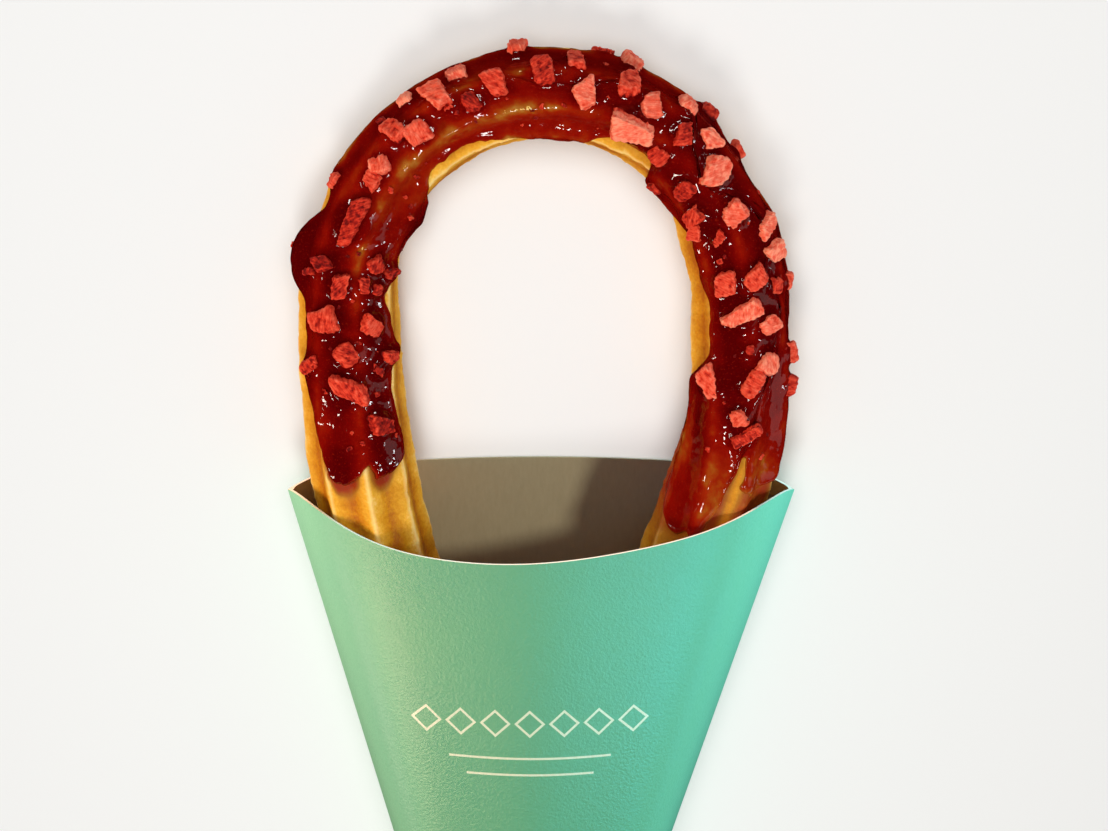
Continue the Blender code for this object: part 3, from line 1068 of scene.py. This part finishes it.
def add_stage():
    mesh = bpy.data.meshes.new("floor")
    s = 3.0
    mesh.from_pydata([(-s, -s, 0), (s, -s, 0), (s, s, 0), (-s, s, 0)], [], [(0, 1, 2, 3)])
    floor = bpy.data.objects.new("floor", mesh)
    bpy.context.scene.collection.objects.link(floor)
    floor.location.z = -0.0002
    m = Nodes("pale_floor")
    m.set(Base_Color=(*rgb(246, 246, 245), 1.0), Roughness=0.9)
    mesh.materials.append(m.material)
    floor.visible_glossy = False
    return floor


# Where the lights stand: azimuth (0 to the right, 90 beyond the crown) and elevation in degrees, then
# millimetres away; their size and watts; colour; what they fall on (None is everything), and whether
# the glaze or card mirrors them.
LIGHTS = {
    # general lights, on the churro and the floor
    "key": (-101, 60, 640, 200, 1.2, (1.0, 0.98, 0.95), ("churro", "floor"), False),
    "fill": (103, 62, 590, 300, 0.4, (1.0, 0.98, 0.95), ("churro", "floor"), False),
    "floor_wash": (90, 75, 720, 600, 3.0, (1.0, 1.0, 1.0), ("floor",), False),
    # side lights, kept off the floor and the card
    "warm_side": (-171, 28, 380, 100, 0.55, (1.0, 0.66, 0.28), ("churro",), False),
    "cool_side": (-8, 37, 410, 90, 0.45, (0.80, 0.95, 1.0), ("churro",), False),
    # small lamps, whose mirror images are the glints on the wet glaze
    "lamp_front": (-87, 67, 560, 70, 0.45, (1.0, 0.97, 0.92), ("churro",), True),
    "lamp_left": (-159, 38, 560, 60, 0.26, (1.0, 0.93, 0.82), ("churro",), True),
    "lamp_right": (-8, 42, 560, 60, 0.26, (0.86, 0.96, 1.0), ("churro",), True),
    "lamp_back": (105, 34, 560, 60, 0.24, (1.0, 0.98, 0.95), ("churro",), True),
    "lamp_back_right": (57, 43, 560, 50, 0.16, (1.0, 0.98, 0.95), ("churro",), True),
    # a broad dim box, mirrored as a sheen down the right leg
    "sheen_right": (-12, 24, 480, 240, 0.09, (1.0, 0.92, 0.88), ("churro",), True),
    # the satin card: a warm light grazing it from the left, a cool one from the right, and soft boxes
    # of the same colours standing where its two halves mirror them
    "card_warm_low": (163, 7, 290, 80, 2.75, (1.0, 0.52, 0.52), ("sleeve",), False),
    "card_cool_low": (24, 7, 285, 85, 1.95, (0.34, 0.63, 1.0), ("sleeve",), False),
    "card_warm_a": (-120, 55, 450, 90, 0.05, (0.75, 1.0, 0.15), ("sleeve",), True),
    "card_warm_b": (-128, 48, 450, 110, 0.20, (1.0, 0.70, 0.46), ("sleeve",), True),
    "card_warm_c": (-136, 36, 450, 120, 0.15, (1.0, 1.0, 0.50), ("sleeve",), True),
    "card_warm_d": (-140, 16, 450, 140, 0.10, (1.0, 0.85, 0.65), ("sleeve",), True),
    "card_cool_a": (-72, 60, 450, 80, 0.05, (0.45, 1.0, 0.55), ("sleeve",), True),
    "card_cool_b": (-62, 56, 450, 100, 0.16, (0.10, 0.75, 1.0), ("sleeve",), True),
    "card_cool_c": (-50, 47, 450, 130, 0.17, (0.15, 0.90, 1.0), ("sleeve",), True),
    "card_cool_d": (-40, 20, 450, 160, 0.06, (0.10, 0.60, 1.0), ("sleeve",), True),
    "card_inside": (14, 42, 440, 60, 0.95, (0.98, 1.0, 0.80), ("sleeve",), False),
}


def add_light(name, place, size, watts, colour, mirrored):
    data = bpy.data.lights.new(name, "AREA")
    data.shape = "DISK"
    data.size = size * MM
    data.energy = watts
    data.color = colour
    light = bpy.data.objects.new(name, data)
    light.location = (Vector(AIM) + place) * MM
    light.rotation_mode = "QUATERNION"
    light.rotation_quaternion = (-place).to_track_quat("-Z", "Y")
    light.visible_glossy = mirrored
    light.visible_camera = False
    bpy.context.scene.collection.objects.link(light)
    return light


def add_lights(pieces):
    """pieces names the groups that a flagged light may fall on, each a list of objects."""
    for name, (azimuth, elevation, away, size, watts, colour, falls_on, mirrored) in LIGHTS.items():
        a, e = math.radians(azimuth), math.radians(elevation)
        way = Vector((math.cos(a) * math.cos(e), math.sin(a) * math.cos(e), math.sin(e)))
        light = add_light(name, way * away, size, watts, colour, mirrored)
        if falls_on:
            light.light_linking.receiver_collection = bpy.data.collections.new(name)
            for group in falls_on:
                for piece in pieces[group]:
                    light.light_linking.receiver_collection.objects.link(piece)
    world = bpy.data.worlds.new("studio")
    bpy.context.scene.world = world
    world.use_nodes = True
    world.node_tree.nodes["Background"].inputs["Color"].default_value = (1.0, 0.99, 0.97, 1.0)
    world.node_tree.nodes["Background"].inputs["Strength"].default_value = 0.22
    world.cycles_visibility.glossy = False


def add_camera():
    data = bpy.data.cameras.new("camera")
    data.lens, data.sensor_width = LENS, SENSOR
    camera = bpy.data.objects.new("camera", data)
    a = math.radians(TILT)
    back = Vector((0, math.sin(a), math.cos(a)))
    up = Vector((0, math.cos(a), -math.sin(a)))
    place = (Vector(AIM) + back * DISTANCE) * MM
    turn = Matrix((Vector((1, 0, 0)), up, back)).transposed()
    camera.matrix_world = Matrix.Translation(place) @ turn.to_4x4()
    bpy.context.scene.collection.objects.link(camera)
    bpy.context.scene.camera = camera


def main():
    fruit = fruit_material()
    churro = [add_dough(), add_glaze(), add_fruit(fruit), add_crumbs(fruit)]
    sleeve = add_sleeve()
    floor = add_stage()
    add_lights({"churro": churro, "sleeve": [sleeve], "floor": [floor]})
    add_camera()
    bpy.context.scene.view_settings.view_transform = "Standard"


main()
